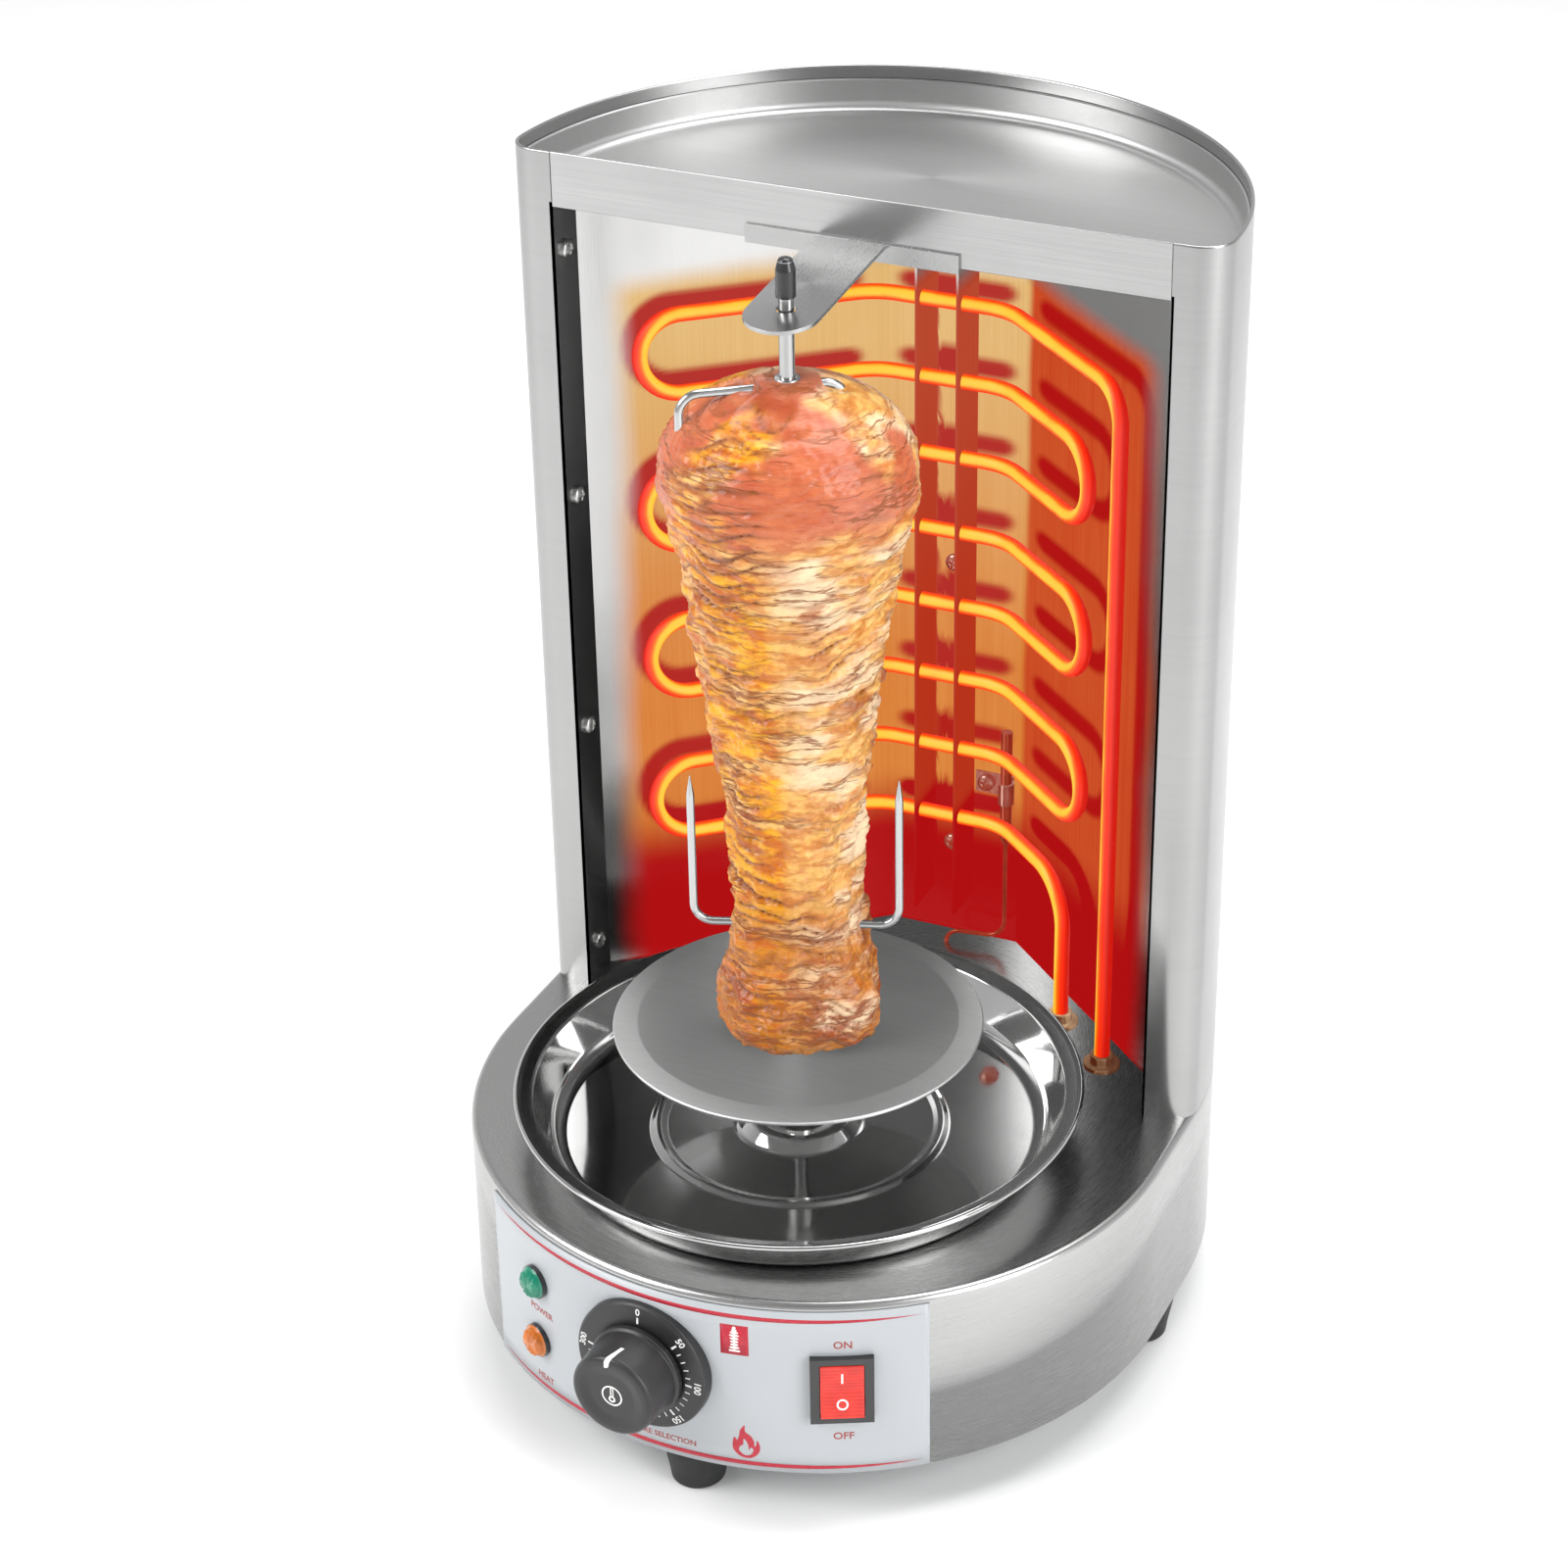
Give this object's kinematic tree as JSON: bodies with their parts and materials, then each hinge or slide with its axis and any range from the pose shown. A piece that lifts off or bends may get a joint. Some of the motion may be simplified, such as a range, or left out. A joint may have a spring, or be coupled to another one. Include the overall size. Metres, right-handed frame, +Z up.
{
  "type": "rotisserie oven",
  "caption": "Upright electric rotisserie: a drum base with controls, a driven spit with disc, forks and meat over a drip pan, and a curved shell with a glowing element and a recessed top tray.",
  "frame": {"origin": "on the counter, at the middle of the whole outline (knob face to cord gland, side to side)", "axes": "+Z up along the spit, the controls face -Y, +X to the right seen from the front"},
  "size_m": [0.295, 0.3728, 0.4857],
  "materials": {
    "brushed_stainless": "satin brushed stainless steel",
    "polished_stainless": "mirror polished stainless steel",
    "galvanised": "dull zinc coated steel",
    "reflector_steel": "bright rolled stainless steel",
    "panel_print": "pale grey-blue printed plate",
    "black_plastic": "fine satin black phenolic",
    "black_gloss": "glossy black plastic",
    "red_lens": "translucent red, lit",
    "green_lens": "translucent green",
    "amber_lens": "translucent amber",
    "black_rubber": "matt black rubber",
    "hot_element": "sheathed element, glowing orange",
    "collar_brass": "bare brass",
    "zinc_screw": "bright zinc plated",
    "copper_tube": "bare copper",
    "bronze": "sintered bronze",
    "terminal_plastic": "cream moulded plastic",
    "fork_wire": "drawn stainless wire",
    "roast_meat": "browned, moist, layered"
  },
  "bodies": {
    "base": {"base_housing": "brushed_stainless", "bottom_plate": "galvanised", "foot_front": "black_rubber", "foot_rear": "black_rubber", "foot_left": "black_rubber", "foot_right": "black_rubber", "foot_screws": "zinc_screw", "cord_gland": "black_rubber", "terminal_block": "terminal_plastic", "control_panel": "panel_print", "dial_plate": "black_plastic", "thermostat_body": "galvanised", "rocker_housing": "black_gloss", "power_lamp_lens": "green_lens", "heat_lamp_lens": "amber_lens", "lamp_bodies": "black_gloss", "outer_shell": "brushed_stainless", "top_tray": "brushed_stainless", "fascia": "brushed_stainless", "reflector": "reflector_steel", "post_screws": "zinc_screw", "reflector_screws": "zinc_screw", "heating_element": "hot_element", "element_collars": "collar_brass", "element_holder": "reflector_steel", "sensing_bulb": "copper_tube", "bulb_clip": "galvanised", "capillary_tube": "copper_tube", "motor_bracket": "galvanised", "gear_motor": "galvanised", "motor_screws": "zinc_screw", "shaft_bush": "bronze", "spit_arm": "brushed_stainless"},
    "drive": {"drive_shaft": "zinc_screw", "drive_coupling": "polished_stainless"},
    "spit": {"spit_rod": "fork_wire", "rod_cap": "black_rubber", "meat_disc": "brushed_stainless", "disc_hub": "polished_stainless", "lower_fork": "fork_wire", "upper_fork": "fork_wire", "meat_stack": "roast_meat"},
    "pan": {"drip_pan": "polished_stainless"},
    "knob": {"thermostat_knob": "black_plastic", "thermostat_shaft": "zinc_screw"},
    "switch_rocker": {"rocker": "red_lens"}
  },
  "joints": [
    {"name": "drive_spin", "type": "hinge", "parent": "base", "child": "drive", "pos_m": [0, -0.0386, 0.1047], "axis": [0, 0, 1], "continuous": true},
    {"name": "spit_lift", "type": "slide", "parent": "drive", "child": "spit", "axis": [0, 0, 1], "range_m": [0, 0.018]},
    {"name": "pan_lift", "type": "slide", "parent": "base", "child": "pan", "axis": [0, 0, 1], "range_m": [0, 0.025]},
    {"name": "knob_turn", "type": "hinge", "parent": "base", "child": "knob", "pos_m": [-0.01303, -0.16394, 0.0655], "axis": [0.0854, 0.9963, 0], "range_deg": [0, 280]},
    {"name": "rocker_tilt", "type": "hinge", "parent": "base", "child": "switch_rocker", "pos_m": [0.06401, -0.14266, 0.0658], "axis": [0.898, 0.4399, 0], "range_deg": [0, 15]}
  ]
}
